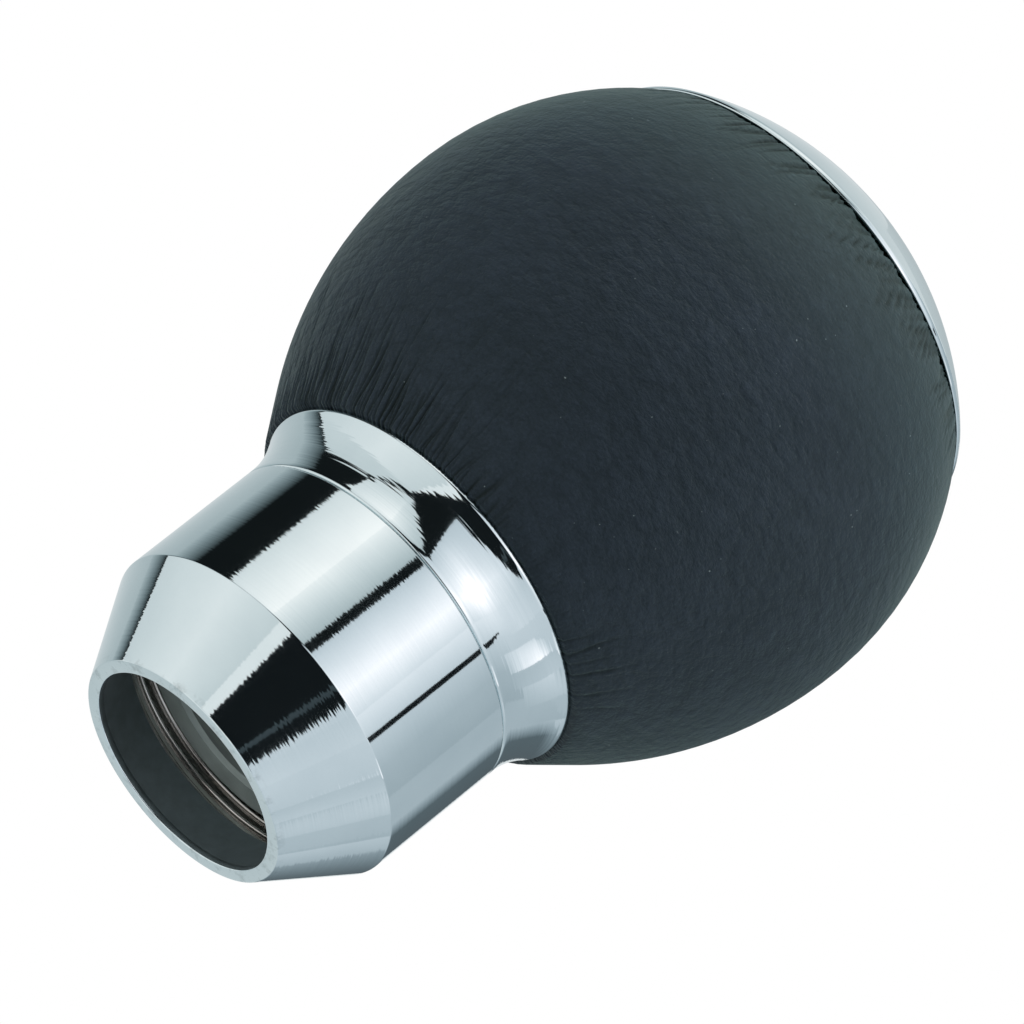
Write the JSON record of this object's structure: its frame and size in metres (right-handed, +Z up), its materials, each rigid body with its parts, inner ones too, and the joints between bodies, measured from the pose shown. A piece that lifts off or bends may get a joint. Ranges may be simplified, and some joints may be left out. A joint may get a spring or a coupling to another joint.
{
  "type": "gear shift knob",
  "caption": "Gear lever knob: a leather covered ball with a chromed dome cap and flared collar, on a chromed sleeve with a conical nose that screws over the clamping screws of its neck.",
  "frame": {"origin": "centre of the nose ring's face, where the knob stands", "axes": "+Z up the axis of the knob, from the mouth to the cap; one clamping screw lies along +X"},
  "size_m": [0.0524, 0.0524, 0.0754],
  "materials": {
    "polished_chrome": "polished",
    "turned_chrome": "polished over fine turning marks",
    "black_leather": "matt, fine grain",
    "core_plastic": "moulded",
    "liner_plastic": "matt",
    "turned_steel": "turned",
    "black_steel": "blackened"
  },
  "bodies": {
    "sleeve": {"lock_sleeve": "turned_chrome", "mouth_liner": "liner_plastic"},
    "collar": {"flare_collar": "polished_chrome"},
    "knob": {"stem": "turned_steel", "grub_screws": "black_steel", "core": "core_plastic", "leather_cover": "black_leather", "top_cap": "polished_chrome"}
  },
  "joints": [
    {"name": "thread_rise", "type": "slide", "parent": "sleeve", "child": "collar", "axis": [0, 0, 1], "range_m": [0, 0.006]},
    {"name": "thread_turn", "type": "hinge", "parent": "collar", "child": "knob", "pos_m": [0, 0, 0.0258], "axis": [0, 0, 1], "range_deg": [0, 1440]}
  ],
  "couplings": [
    {"joint": "thread_rise", "follows": "thread_turn", "m_per_rad": 0.0002387}
  ]
}
